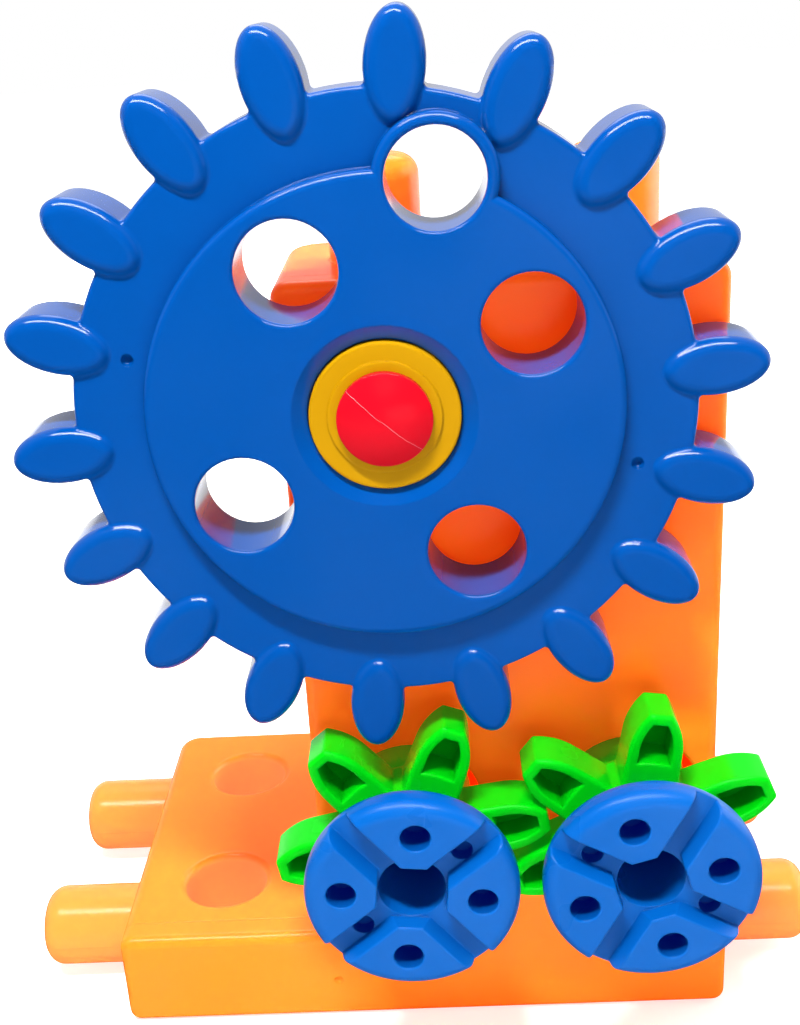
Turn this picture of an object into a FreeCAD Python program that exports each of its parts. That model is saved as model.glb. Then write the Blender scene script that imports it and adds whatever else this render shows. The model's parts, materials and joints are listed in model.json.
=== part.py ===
import FreeCAD, Part
import math
import os

# Gear building-block toy: an L-shaped hollow block that carries a large crank gear on the face
# of its tower and, below it, two meshing pinions with slotted knobs. Millimetres, +Z up, the
# gears face -Y. The origin is on the ground, at the middle of the toy's length and depth.

Vec = FreeCAD.Vector
X_AXIS = Vec(1, 0, 0)
Y_AXIS = Vec(0, 1, 0)
Z_AXIS = Vec(0, 0, 1)

# --- the block system -----------------------------------------------------------------------
pitch = 50.0                     # spacing of pegs, sockets and pinion axles
cell_gap = 3.0                   # how much a block is smaller than its cells, in all
cells_long = 3                   # cells along the base
cells_deep = 2                   # cells across the base
peg_radius = 9.9
side_peg_length = 24.0
top_peg_length = 21.5
peg_end_radius = 4.5             # rounding of a peg's free end
peg_wall = 2.5
peg_shoulder = 0.3               # how much thicker a peg is inside the block's wall
peg_flange_width = 2.4           # flange behind the block's wall that holds the peg
peg_flange_thickness = 2.0
socket_clearance = 0.4           # radial room round a peg in a socket
socket_wall = 2.5
socket_mouth_radius = 1.8

# --- the block ------------------------------------------------------------------------------
wall = 3.0
base_height = 24.5
tower_top_rise = 22.5            # from the drive gear's axis to the tower's top
tower_start_step = 1.0           # the tower stands in from its first cell's left side
tower_end_step = 4.0             # and from the base's right end
seam_depth = 7.0                 # the front shell's depth; the rear shell starts here
front_edge_radius = 2.5
tower_top_radius = 3.5
tower_back_radius = 8.0
base_top_radius = 3.0
base_foot_radius = 3.0
base_back_radius = 6.0
seam_chamfer = 0.1
lip_thickness = 1.2              # locating lip of the front shell inside the rear shell
lip_length = 2.0
seat_clearance = 0.1             # radial or side room of pieces that are pushed together
gear_hole_room = 2.5             # radial room round a gear's rear hub in the front shell
gear_hole_edge = 0.8
gate_mark_radius = 1.1           # small dimple left by the mould on the base's front
gate_mark_depth = 0.6
gate_mark_inset = 1.9            # from the tower's left side, along the base
gate_mark_height = 11.0

# --- screws that hold the shells together ---------------------------------------------------
screw_radius = 1.5
screw_length = 15.0
screw_head_radius = 2.9
screw_head_height = 2.0
screw_slot_width = 0.8
screw_seat_depth = 24.0          # how far the screw head's seat is behind the front face
screw_seat_thickness = 3.0
screw_post_wall = 2.0
screw_tube_wall = 1.8
screw_inset = 9.0                # from the tower's side walls to the screws
screw_top_inset = 11.5           # from the tower's top to its upper screws

# --- gear train -----------------------------------------------------------------------------
drive_teeth = 18
pinion_teeth = 6
pinion_axis_rise = 35.5          # from the base's top to the pinions' axes
running_clearance = 0.08         # radial room of a gear on its bush or pin
axial_play = 0.4
pinion_turn_left = 70.0          # angle of the first tooth, from +X towards +Z
pinion_turn_right = 82.0
drive_turn = 5.2

# The drive gear, with depths measured forwards from the block's front face.
drive_front = 20.0               # front of the raised disc
drive_tooth_front = 18.0
drive_rim_front = 16.5
drive_back = 4.0
drive_skin = 3.0
drive_disc_edge = 1.5
drive_rim_edge = 1.0
drive_tooth_edge = 2.5
drive_root_radius = 0.8          # hollow rounding where the teeth rise from the rim's face
drive_tooth_wall = 2.2
drive_rib = 2.0
drive_ribs = 8
drive_rim_wall = 2.8
rim_land = 14.1                  # ring of the rim round the raised disc
drive_holes = 4                  # round windows in the disc
drive_hole_land = 3.4            # from a window to the disc's edge
drive_hole_hub_land = 5.37       # from a window to the recess in the middle
drive_hole_turn = 25.0           # from the first tooth to the first window
drive_hole_edge = 0.8
crank_hole_radius = 9.3
crank_ring_radius = 11.7
crank_hole_inset = 0.75          # from the disc's edge in to the crank hole's centre
crank_hole_turn = 70.0           # from the first tooth to the crank hole
rim_dimple_radius = 1.2
rim_dimple_inset = 4.0           # from the disc's edge out to the dimples
rim_dimple_turn = 160.0
hub_recess_chamfer = 3.0
hub_recess_slope = 2.0

# The bush and pin that the drive gear turns on.
pin_radius = 6.0
bush_wall = 4.0                  # of every bush, between its pin and its tube
bush_flange_width = 4.6
bush_flange_thickness = 3.0
bush_flange_room = 0.3           # radial room of the flange in the gear
bush_flange_sink = 0.5           # its face lies this far below the gear's disc
bush_lip_width = 1.8             # raised ring of the flange round the pin's head
bush_lip_height = 0.5
bush_slot_width = 2.0
bush_slot_length = 14.0
bush_depth = 34.0                # how far the bushes reach behind the front face
pin_head_width = 3.2
pin_head_side = 1.6
pin_head_dome = 2.6
pin_depth = 31.0
tube_wall = 2.5                  # axle tubes inside the tower

# Pinions.
pinion_front = 16.0
pinion_back = 5.0
pinion_floor = 2.5
pinion_edge = 0.9
pinion_wall = 2.3
pinion_root_radius = 0.9         # hollow rounding between neighbouring teeth
pinion_inner_edge = 0.4          # softened rim of the hollows in the teeth
hub_wall = 3.5                   # of a gear's rear hub, inside the front shell's opening
hub_entry = 6.4                  # how far a rear hub reaches behind the front face
thrust_flange_thickness = 1.6    # flange of the pinion's bush in front of its tube
spigot_wall = 3.0                # of the knob's round end, pressed into the pinion
spigot_length = 7.5

# Slotted knobs.
knob_front = 34.0
knob_gap = 4.6                   # between the two knobs
knob_thickness = 9.0
knob_front_edge = 3.0
knob_back_edge = 4.6
knob_stem_step = 3.3             # from the spigot out to the stem
knob_soft_edge = 0.4             # softened edges of the pads and the holes in them
knob_turn_left = 84.5            # angle of the first sector hole
knob_turn_right = 106.0
knob_sectors = 4
channel_width = 6.8
channel_floor_width = 4.4
channel_depth = 4.0
knob_pocket_half = 7.35          # square pocket where the channels cross
knob_socket_radius = 7.15
knob_socket_floor = 10.5         # depth of the socket's floor, ahead of the block's face
sector_hole_radius = 3.1
sector_hole_inset = 7.9          # from the knob's rim in to the sector holes' centres
sector_hole_depth = 7.0
channel_hole_radius = 2.3
channel_hole_inset = 8.7         # from the knob's rim in to the channel holes' centres
channel_hole_depth = 3.0
channel_hole_turn_left = -45.0   # from the first sector hole to the pierced channels
channel_hole_turn_right = 45.0
axle_head_room = 0.2             # radial room of the pin's head in the knob's socket
axle_head_thickness = 3.0

# --- derived places -------------------------------------------------------------------------
base_length = cells_long * pitch - cell_gap
base_depth = cells_deep * pitch - cell_gap
tower_depth = pitch - cell_gap
half_cell = (pitch - cell_gap) / 2

base_left = -base_length / 2
base_right = base_length / 2
front = (knob_front - base_depth) / 2         # Y of the block's front face
base_back = front + base_depth
tower_back = front + tower_depth
seam = front + seam_depth
cell_x = [base_left + half_cell + pitch * i for i in range(cells_long)]
cell_y = [front + half_cell + pitch * i for i in range(cells_deep)]
tower_left = cell_x[1] - half_cell + tower_start_step
tower_right = base_right - tower_end_step
tower_middle = (tower_left + tower_right) / 2
peg_height = base_height / 2
top_peg_x = [tower_middle - pitch / 2, tower_middle + pitch / 2]

gear_module = pitch / pinion_teeth            # two pinions mesh one pitch apart
pinion_pitch_radius = gear_module * pinion_teeth / 2
drive_pitch_radius = gear_module * drive_teeth / 2
pinion_axis_height = base_height + pinion_axis_rise
drive_axis_height = pinion_axis_height + pinion_pitch_radius + drive_pitch_radius
tower_height = drive_axis_height + tower_top_rise
drive_axis_x = cell_x[1]
pinion_axis_x = [cell_x[1], cell_x[2]]

# Tooth proportions, as shares of the module.
drive_tooth_reach = drive_pitch_radius - 1.38 * gear_module     # centre of a tooth's ellipse
drive_tooth_long = 1.23 * gear_module
drive_tooth_wide = 0.678 * gear_module
rim_radius = drive_pitch_radius - 1.78 * gear_module
pinion_tip_radius = pinion_pitch_radius + 0.66 * gear_module
pinion_valley_radius = pinion_pitch_radius - 1.32 * gear_module
tooth_root_half = 0.74 * gear_module
tooth_waist_half = 0.70 * gear_module
tooth_flank_half = 0.57 * gear_module
tooth_tip_half = 0.29 * gear_module
tooth_waist_radius = pinion_pitch_radius - 0.42 * gear_module
tooth_flank_radius = pinion_pitch_radius + 0.19 * gear_module
tooth_hollow_start = pinion_pitch_radius - 0.72 * gear_module

disc_radius = rim_radius - rim_land
crank_hole_circle = disc_radius - crank_hole_inset
rim_dimple_circle = disc_radius + rim_dimple_inset
sleeve_radius = pin_radius + bush_wall
sleeve_bore = sleeve_radius + seat_clearance
tube_radius = sleeve_bore + tube_wall
hub_radius = sleeve_radius + hub_wall
gear_hole_radius = hub_radius + gear_hole_room
spigot_radius = pin_radius + spigot_wall
knob_stem_radius = spigot_radius + knob_stem_step
knob_radius = (pitch - knob_gap) / 2
axle_head_radius = knob_socket_radius - axle_head_room
pin_head_radius = pin_radius + pin_head_width
bush_flange_radius = sleeve_radius + bush_flange_width
bush_lip_radius = pin_head_radius + bush_lip_width
drive_tube_front = hub_entry + axial_play
pinion_tube_front = drive_tube_front + thrust_flange_thickness
bush_flange_face = drive_front - bush_flange_sink
bush_flange_back = bush_flange_face - bush_flange_thickness
recess_radius = bush_flange_radius + bush_flange_room
recess_floor = bush_flange_back - axial_play
recess_edge = recess_radius + hub_recess_chamfer
drive_hole_radius = (disc_radius - drive_hole_land - drive_hole_hub_land - recess_edge) / 2
drive_hole_circle = disc_radius - drive_hole_land - drive_hole_radius
knob_back = knob_front - knob_thickness
spigot_end = pinion_front - spigot_length
axle_head_back = knob_socket_floor + axial_play
socket_radius = peg_radius + socket_clearance
screw_heights = [(pinion_axis_height + drive_axis_height) / 2, tower_height - screw_top_inset]
tower_screws = [(x, z) for x in (tower_left + screw_inset, tower_right - screw_inset) for z in screw_heights]
base_screws = [(x + pitch / 2, peg_height) for x in cell_x[:-1]]
screw_places = tower_screws + base_screws


# --- small building blocks ------------------------------------------------------------------
def box(x0, x1, y0, y1, z0, z1):
    """Box between two corners."""
    return Part.makeBox(x1 - x0, y1 - y0, z1 - z0, Vec(x0, y0, z0))


def ahead(x, z, radius, far, near):
    """Cylinder along Y between two distances ahead of the block's front face."""
    return Part.makeCylinder(radius, far - near, Vec(x, front - far, z), Y_AXIS)


def polar(radius, degrees):
    """Point on a circle in the XZ plane, with angles from +X towards +Z."""
    angle = math.radians(degrees)
    return radius * math.cos(angle), radius * math.sin(angle)


def ring_of(shape, count, x, z):
    """Copies of a shape, evenly turned about the gear axis at (x, z)."""
    copies = []
    for i in range(count):
        copy = shape.copy()
        copy.rotate(Vec(x, 0, z), Y_AXIS, -360 / count * i)
        copies.append(copy)
    return copies


def turned(shape, x, z, degrees):
    """The shape turned about the axis at (x, z), from +X towards +Z."""
    copy = shape.copy()
    copy.rotate(Vec(x, 0, z), Y_AXIS, -degrees)
    return copy


def merge(first, *others):
    """One solid from several that touch or overlap."""
    return first.fuse(list(others)).removeSplitter()


def edges_where(shape, test):
    """Edges whose every sample point passes the test."""
    chosen = []
    for edge in shape.Edges:
        low, high = edge.ParameterRange
        points = [edge.valueAt(low + (high - low) * share) for share in (0.0, 0.5, 1.0)]
        if all(test(point) for point in points):
            chosen.append(edge)
    return chosen


def near(value, target):
    """Whether two lengths agree to a thousandth of a millimetre."""
    return abs(value - target) < 1e-3


def middle(edge):
    """Point halfway along an edge."""
    low, high = edge.ParameterRange
    return edge.valueAt((low + high) / 2)


def from_axis(point, x, z):
    """Distance of a point from the gear axis at (x, z)."""
    return math.hypot(point.x - x, point.z - z)


def rounded_face(corners, y):
    """Face in the plane Y = y from (x, z, radius) corners listed in order."""
    count = len(corners)
    starts = []
    ends = []
    arcs = []
    for i in range(count):
        x, z, radius = corners[i]
        here = Vec(x, y, z)
        before = (Vec(corners[i - 1][0], y, corners[i - 1][1]) - here).normalize()
        after_corner = corners[(i + 1) % count]
        after = (Vec(after_corner[0], y, after_corner[1]) - here).normalize()
        if radius == 0:
            starts.append(here)
            ends.append(here)
            arcs.append(None)
            continue
        half = before.getAngle(after) / 2
        run = radius / math.tan(half)
        centre = here + (before + after).normalize() * (radius / math.sin(half))
        starts.append(here + before * run)
        ends.append(here + after * run)
        middle = centre + (here - centre).normalize() * radius
        arcs.append(Part.Arc(starts[-1], middle, ends[-1]).toShape())
    edges = []
    for i in range(count):
        if arcs[i] is not None:
            edges.append(arcs[i])
        edges.append(Part.LineSegment(ends[i], starts[(i + 1) % count]).toShape())
    return Part.Face(Part.Wire(edges))


def revolved(profile, origin, axis, across):
    """Solid of revolution. The profile lists (along, radius) points; a third value, "arc",
    marks the middle point of an arc between its neighbours."""
    def place(item):
        return origin + axis * item[0] + across * item[1]

    edges = []
    i = 0
    closed = profile + [profile[0]]
    while i < len(closed) - 1:
        if len(closed[i + 1]) == 3:
            edges.append(Part.Arc(place(closed[i]), place(closed[i + 1]), place(closed[i + 2])).toShape())
            i += 2
        else:
            edges.append(Part.LineSegment(place(closed[i]), place(closed[i + 1])).toShape())
            i += 1
    return Part.Face(Part.Wire(edges)).revolve(origin, axis, 360)


def quarter_point(centre_along, centre_radius, size, toward_along, toward_radius):
    """Middle point of a quarter-circle arc about a centre in (along, radius)."""
    share = size * math.sqrt(0.5)
    return centre_along + toward_along * share, centre_radius + toward_radius * share, "arc"


# --- block shells ---------------------------------------------------------------------------
def block_outline(inset, y):
    """Front outline of the block, drawn in from its outer faces by inset."""
    def corner(x, z, radius, side):
        return x + side * inset, z, max(radius - inset, 0)

    base_top = base_height - inset
    tower_top = tower_height - inset
    return rounded_face([
        corner(base_left, inset, base_foot_radius, 1),
        corner(base_right, inset, base_foot_radius, -1),
        corner(base_right, base_top, base_top_radius, -1),
        corner(tower_right, base_top, 0, -1),
        corner(tower_right, tower_top, tower_top_radius, -1),
        corner(tower_left, tower_top, tower_top_radius, 1),
        corner(tower_left, base_top, 0, 1),
        corner(base_left, base_top, base_top_radius, 1),
    ], y)


def slab(inset, start, depth):
    """Block outline made solid from a depth behind the front face."""
    return block_outline(inset, front + start).extrude(Y_AXIS * depth)


def gear_axes():
    """Axis places of the drive gear and the two pinions."""
    return [(drive_axis_x, drive_axis_height)] + [(x, pinion_axis_height) for x in pinion_axis_x]


def front_shell():
    """Face of the block: outer skin, gear openings, screw posts and locating lip."""
    outer = slab(0, 0, seam_depth)
    outer = outer.makeFillet(front_edge_radius, edges_where(outer, lambda p: near(p.y, front)))
    outer = outer.makeChamfer(seam_chamfer, edges_where(outer, lambda p: near(p.y, seam)))
    shell = outer.cut(slab(wall, wall, seam_depth))
    lip_inset = wall + seat_clearance
    lip = slab(lip_inset, wall, seam_depth - wall + lip_length)
    lip = lip.cut(slab(lip_inset + lip_thickness, 0, seam_depth + 2 * lip_length))
    bridge = slab(wall, wall, seam_depth - wall - lip_length)
    bridge = bridge.cut(slab(lip_inset + lip_thickness, 0, seam_depth + lip_length))
    post_radius = screw_radius + screw_post_wall
    post_end = screw_seat_depth - screw_seat_thickness - seat_clearance
    posts = [ahead(x, z, post_radius, -wall / 2, -post_end) for x, z in screw_places]
    shell = merge(shell, bridge, lip, *posts)
    pilot = screw_radius + seat_clearance / 2
    for x, z in screw_places:
        shell = shell.cut(ahead(x, z, pilot, -wall, -post_end - wall))
    for x, z in gear_axes():
        hole = ahead(x, z, gear_hole_radius, wall, -seam_depth)
        shell = shell.cut(hole)
    rims = edges_where(
        shell,
        lambda p: near(p.y, front)
        and any(near(from_axis(p, x, z), gear_hole_radius) for x, z in gear_axes()),
    )
    shell = shell.makeFillet(gear_hole_edge, rims)
    mark_place = Vec(tower_left + gate_mark_inset, front - gate_mark_depth / 2, gate_mark_height)
    return shell.cut(Part.makeSphere(gate_mark_radius, mark_place))


def rounded_mouth_bore(x, y):
    """Cutting tool of a through socket with softly rounded mouths, along Z."""
    reach = base_height
    bend = socket_mouth_radius
    edge = socket_radius + bend
    profile = [
        (-bend, 0),
        (reach + bend, 0),
        (reach + bend, edge),
        (reach, edge),
        quarter_point(reach - bend, edge, bend, 1, -1),
        (reach - bend, socket_radius),
        (bend, socket_radius),
        quarter_point(bend, edge, bend, -1, -1),
        (0, edge),
        (-bend, edge),
    ]
    return revolved(profile, Vec(x, y, 0), Z_AXIS, X_AXIS)


def socket_places():
    """Cells of the base's top that the tower leaves open."""
    return [(cell_x[0], y) for y in cell_y] + [(x, cell_y[-1]) for x in cell_x[1:]]


def rear_shell():
    """Back of the block: base and tower walls, sockets, axle tubes and screw tubes."""
    base = box(base_left, base_right, seam, base_back, 0, base_height)
    base = base.makeFillet(base_back_radius, edges_where(
        base, lambda p: near(p.y, base_back) and near(abs(p.x), base_right)))
    base = base.makeFillet(base_foot_radius, edges_where(
        base, lambda p: near(p.z, 0) and not near(p.y, seam) or near(p.z, 0) and near(abs(p.x), base_right)))
    base = base.makeFillet(base_top_radius, edges_where(
        base, lambda p: near(p.z, base_height) and not near(p.y, seam)
        or near(p.z, base_height) and near(abs(p.x), base_right)))
    tower = box(tower_left, tower_right, seam, tower_back, base_height - wall, tower_height)
    tower = tower.makeFillet(tower_back_radius, edges_where(
        tower, lambda p: near(p.y, tower_back) and (near(p.x, tower_left) or near(p.x, tower_right))))
    tower = tower.makeFillet(tower_top_radius, edges_where(
        tower, lambda p: near(p.z, tower_height) and not near(p.y, seam)
        or near(p.z, tower_height) and (near(p.x, tower_left) or near(p.x, tower_right))))
    shell = merge(base, tower)
    start = seam - wall
    shell = shell.cut(box(base_left + wall, base_right - wall, start, base_back - wall,
                          wall, base_height - wall))
    shell = shell.cut(box(tower_left + wall, tower_right - wall, start, tower_back - wall,
                          wall, tower_height - wall))
    inner_tubes = []
    for x, y in socket_places():
        tube = Part.makeCylinder(socket_radius + socket_wall, base_height - wall, Vec(x, y, wall / 2))
        inner_tubes.append(tube)
    for (x, z), tube_front in zip(gear_axes(), (drive_tube_front, pinion_tube_front, pinion_tube_front)):
        inner_tubes.append(ahead(x, z, tube_radius, -tube_front, -tower_depth + wall / 2))
    screw_bore = screw_head_radius + seat_clearance
    for x, z in screw_places:
        back = tower_depth if z > base_height else base_depth
        start = screw_seat_depth - screw_seat_thickness
        inner_tubes.append(ahead(x, z, screw_bore + screw_tube_wall, -start, -back + wall / 2))
    shell = merge(shell, *inner_tubes)
    for x, y in socket_places():
        shell = shell.cut(rounded_mouth_bore(x, y))
    for x, z in gear_axes():
        shell = shell.cut(ahead(x, z, sleeve_bore, 0, -bush_depth - axial_play))
    for x, z in screw_places:
        shell = shell.cut(ahead(x, z, screw_bore, -screw_seat_depth, -base_depth - wall))
        shell = shell.cut(ahead(x, z, screw_radius + seat_clearance, 0, -screw_seat_depth - wall))
    hole_radius = peg_radius + peg_shoulder + seat_clearance
    for y in cell_y:
        for x, way in ((base_left - wall, 1), (base_right + wall, -1)):
            outside = Vec(x, y, peg_height)
            shell = shell.cut(Part.makeCylinder(hole_radius, 3 * wall, outside, X_AXIS * way))
    for x in top_peg_x:
        inside = Vec(x, cell_y[0], tower_height - 2 * wall)
        shell = shell.cut(Part.makeCylinder(hole_radius, 3 * wall, inside))
    return shell


def peg(root, direction, across, length):
    """Hollow plug-in peg. Its root is the point on the wall's outer face."""
    flange = -wall - peg_flange_thickness
    bend = peg_end_radius
    profile = [
        (flange, peg_radius - peg_wall),
        (flange, peg_radius + peg_flange_width),
        (-wall, peg_radius + peg_flange_width),
        (-wall, peg_radius + peg_shoulder),
        (0, peg_radius + peg_shoulder),
        (0, peg_radius),
        (length - bend, peg_radius),
        quarter_point(length - bend, peg_radius - bend, bend, 1, 1),
        (length, peg_radius - bend),
        (length, 0),
        (length - peg_wall, 0),
        (length - peg_wall, peg_radius - peg_wall),
    ]
    return revolved(profile, root, direction, across)


def side_peg(root, direction):
    """Peg in an end wall of the base; its flange is trimmed to the room inside the base."""
    shape = peg(root, direction, Z_AXIS, side_peg_length)
    inside = root - direction * (wall + peg_flange_thickness)
    half_room = peg_height - wall - seat_clearance
    reach = peg_radius + 2 * peg_flange_width
    x_near, x_far = sorted((inside.x, inside.x + direction.x * peg_flange_thickness))
    flange_space = box(x_near, x_far, root.y - reach, root.y + reach, -wall, base_height + wall)
    room = box(x_near, x_far, root.y - reach, root.y + reach, peg_height - half_room, peg_height + half_room)
    return shape.cut(flange_space.cut(room))


def shell_screws():
    """Self-tapping screws with slotted heads, seated deep in the rear shell's tubes."""
    screws = []
    for x, z in screw_places:
        seat = -screw_seat_depth
        shank = ahead(x, z, screw_radius, seat + screw_length, seat)
        head = ahead(x, z, screw_head_radius, seat, seat - screw_head_height)
        screw = merge(shank, head)
        slot_half = screw_slot_width / 2
        head_end = front + screw_seat_depth + screw_head_height
        slot = box(x - 2 * screw_head_radius, x + 2 * screw_head_radius,
                   head_end - screw_head_height / 2, head_end + wall, z - slot_half, z + slot_half)
        screws.append(screw.cut(slot))
    return Part.makeCompound(screws)


# --- drive gear -----------------------------------------------------------------------------
def tooth_ellipse(trim, far, near_end):
    """Elliptical drive-gear tooth on the +X side, between two distances ahead."""
    centre = Vec(drive_axis_x + drive_tooth_reach, front - far, drive_axis_height)
    major = centre + X_AXIS * (drive_tooth_long - trim)
    minor = centre + Z_AXIS * (drive_tooth_wide - trim)
    outline = Part.Ellipse(major, minor, centre).toShape()
    return Part.Face(Part.Wire([outline])).extrude(Y_AXIS * (far - near_end))


def drive_rim_and_teeth():
    """Rim with its eighteen pillow-shaped teeth, hollow from behind."""
    x, z = drive_axis_x, drive_axis_height
    rim = ahead(x, z, rim_radius, drive_rim_front, drive_back)
    rim = rim.makeFillet(drive_rim_edge, edges_where(rim, lambda p: near(p.y, front - drive_rim_front)))
    tooth = tooth_ellipse(0, drive_tooth_front, drive_back)
    tooth = tooth.makeFillet(drive_tooth_edge, edges_where(
        tooth, lambda p: near(p.y, front - drive_tooth_front)))
    hollow = tooth_ellipse(drive_tooth_wall, drive_tooth_front - drive_skin, drive_back - drive_skin)
    hollow = hollow.cut(ahead(x, z, rim_radius, drive_front, 0))
    wheel = merge(rim, *ring_of(tooth.cut(hollow), drive_teeth, x, z))
    on_rim = edges_where(wheel, lambda p: near(p.y, front - drive_rim_front))
    roots = [edge for edge in on_rim if from_axis(middle(edge), x, z) < rim_radius - 2 * drive_rim_edge]
    return wheel.makeFillet(drive_root_radius, roots)


def drive_cavity():
    """Hollow back of the wheel, with the ribs and the tubes round its holes left out."""
    x, z = drive_axis_x, drive_axis_height
    depth = drive_rim_front - drive_skin
    cavity = ahead(x, z, rim_radius - drive_rim_wall, depth, drive_back - drive_skin)
    kept = [ahead(x, z, hub_radius, drive_front, 0)]
    ring = ahead(x, z, disc_radius + drive_rib / 2, drive_front, 0)
    kept.append(ring.cut(ahead(x, z, disc_radius - drive_rib / 2, drive_front, 0)))
    rib = box(x, x + rim_radius, front - drive_front, front, z - drive_rib / 2, z + drive_rib / 2)
    kept += ring_of(turned(rib, x, z, drive_hole_turn), drive_ribs, x, z)
    for dx, dz in drive_windows():
        kept.append(ahead(x + dx, z + dz, drive_hole_radius + drive_tooth_wall, drive_front, 0))
    dx, dz = polar(crank_hole_circle, crank_hole_turn)
    kept.append(ahead(x + dx, z + dz, crank_ring_radius, drive_front, 0))
    return cavity.cut(kept)


def drive_windows():
    """Offsets of the four round windows from the axis, before the wheel is turned."""
    step = 360 / drive_holes
    return [polar(drive_hole_circle, drive_hole_turn + step * i) for i in range(drive_holes)]


def hub_recess():
    """Sloped recess in the middle of the wheel that holds the bush's flange."""
    profile = [
        (-drive_front - wall, 0),
        (-drive_front - wall, recess_edge),
        (-drive_front, recess_edge),
        (-drive_front + hub_recess_slope, recess_radius),
        (-recess_floor, recess_radius),
        (-recess_floor, 0),
    ]
    return revolved(profile, Vec(drive_axis_x, front, drive_axis_height), Y_AXIS, X_AXIS)


def drive_gear():
    """Crank gear: pillow teeth, raised disc with windows, crank hole and rear hub."""
    x, z = drive_axis_x, drive_axis_height
    wheel = drive_rim_and_teeth().cut(drive_cavity())
    dx, dz = polar(crank_hole_circle, crank_hole_turn)
    disc = ahead(x, z, disc_radius, drive_front, drive_rim_front - drive_skin)
    boss = ahead(x + dx, z + dz, crank_ring_radius, drive_front, drive_rim_front - drive_skin)
    raised = merge(disc, boss)
    raised = raised.makeFillet(drive_disc_edge, edges_where(raised, lambda p: near(p.y, front - drive_front)))
    hub = ahead(x, z, hub_radius, drive_back, -hub_entry)
    wheel = merge(wheel, raised, hub)
    wheel = wheel.cut(ahead(x, z, sleeve_radius + running_clearance, drive_front, -drive_front))
    wheel = wheel.cut(hub_recess())
    for wx, wz in drive_windows():
        wheel = wheel.cut(ahead(x + wx, z + wz, drive_hole_radius, 2 * drive_front, -drive_front))
    wheel = wheel.cut(ahead(x + dx, z + dz, crank_hole_radius, 2 * drive_front, -drive_front))
    holes = [(wx, wz, drive_hole_radius) for wx, wz in drive_windows()] + [(dx, dz, crank_hole_radius)]
    rims = edges_where(
        wheel,
        lambda p: near(p.y, front - drive_front)
        and any(near(from_axis(p, x + hx, z + hz), radius) for hx, hz, radius in holes),
    )
    wheel = wheel.makeFillet(drive_hole_edge, rims)
    for half_turn in (0, 180):
        dx, dz = polar(rim_dimple_circle, rim_dimple_turn + half_turn)
        dimple = Part.makeSphere(rim_dimple_radius, Vec(x + dx, front - drive_rim_front, z + dz))
        wheel = wheel.cut(dimple)
    return turned(wheel, x, z, drive_turn)


def hub_bush():
    """Flanged sleeve, split at its inner end, that the drive gear turns on."""
    x, z = drive_axis_x, drive_axis_height
    sleeve = ahead(x, z, sleeve_radius, bush_flange_back, -bush_depth)
    flange = ahead(x, z, bush_flange_radius, bush_flange_face, bush_flange_back)
    flange = flange.makeFillet(bush_lip_height, edges_where(
        flange, lambda p: near(p.y, front - bush_flange_face)))
    lip = ahead(x, z, bush_lip_radius, bush_flange_face + bush_lip_height, bush_flange_face)
    bush = merge(sleeve, flange, lip)
    bush = bush.cut(ahead(x, z, pin_radius + seat_clearance / 2, drive_front + wall, -bush_depth - wall))
    half = bush_slot_width / 2
    slot_start = front + bush_depth - bush_slot_length
    for slot in (
        box(x - pitch, x + pitch, slot_start, front + bush_depth + wall, z - half, z + half),
        box(x - half, x + half, slot_start, front + bush_depth + wall, z - pitch, z + pitch),
    ):
        bush = bush.cut(slot)
    return bush


def hub_pin():
    """Domed pin pushed into the bush, which spreads it in the tower."""
    head = bush_flange_face + bush_lip_height
    side = head + pin_head_side
    top = side + pin_head_dome
    half_chord = pin_head_radius / 2
    sphere = (pin_head_radius ** 2 + pin_head_dome ** 2) / (2 * pin_head_dome)
    rise = math.sqrt(sphere ** 2 - half_chord ** 2) - (sphere - pin_head_dome)
    profile = [
        (-top, 0),
        (-side - rise, half_chord, "arc"),
        (-side, pin_head_radius),
        (-head, pin_head_radius),
        (-head, pin_radius),
        (pin_depth, pin_radius),
        (pin_depth, 0),
    ]
    return revolved(profile, Vec(drive_axis_x, front, drive_axis_height), Y_AXIS, X_AXIS)


# --- pinions and knobs ----------------------------------------------------------------------
def leaf_face(x, z, trim, inner, y):
    """Leaf outline of a pinion tooth on the +X side, drawn in by trim."""
    tip = pinion_tip_radius - trim
    places = [
        (inner, tooth_root_half - trim),
        (tooth_waist_radius, tooth_waist_half - trim),
        (tooth_flank_radius, tooth_flank_half - trim),
        (tip, tooth_tip_half - trim * tooth_tip_half / tooth_root_half),
    ]
    upper = [Vec(x + r, y, z + h) for r, h in places]
    lower = [Vec(x + r, y, z - h) for r, h in places]
    edges = [
        Part.LineSegment(upper[0], upper[1]).toShape(),
        Part.Arc(upper[1], upper[2], upper[3]).toShape(),
        Part.LineSegment(upper[3], lower[3]).toShape(),
        Part.Arc(lower[3], lower[2], lower[1]).toShape(),
        Part.LineSegment(lower[1], lower[0]).toShape(),
        Part.LineSegment(lower[0], upper[0]).toShape(),
    ]
    return Part.Face(Part.Wire(edges))


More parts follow.
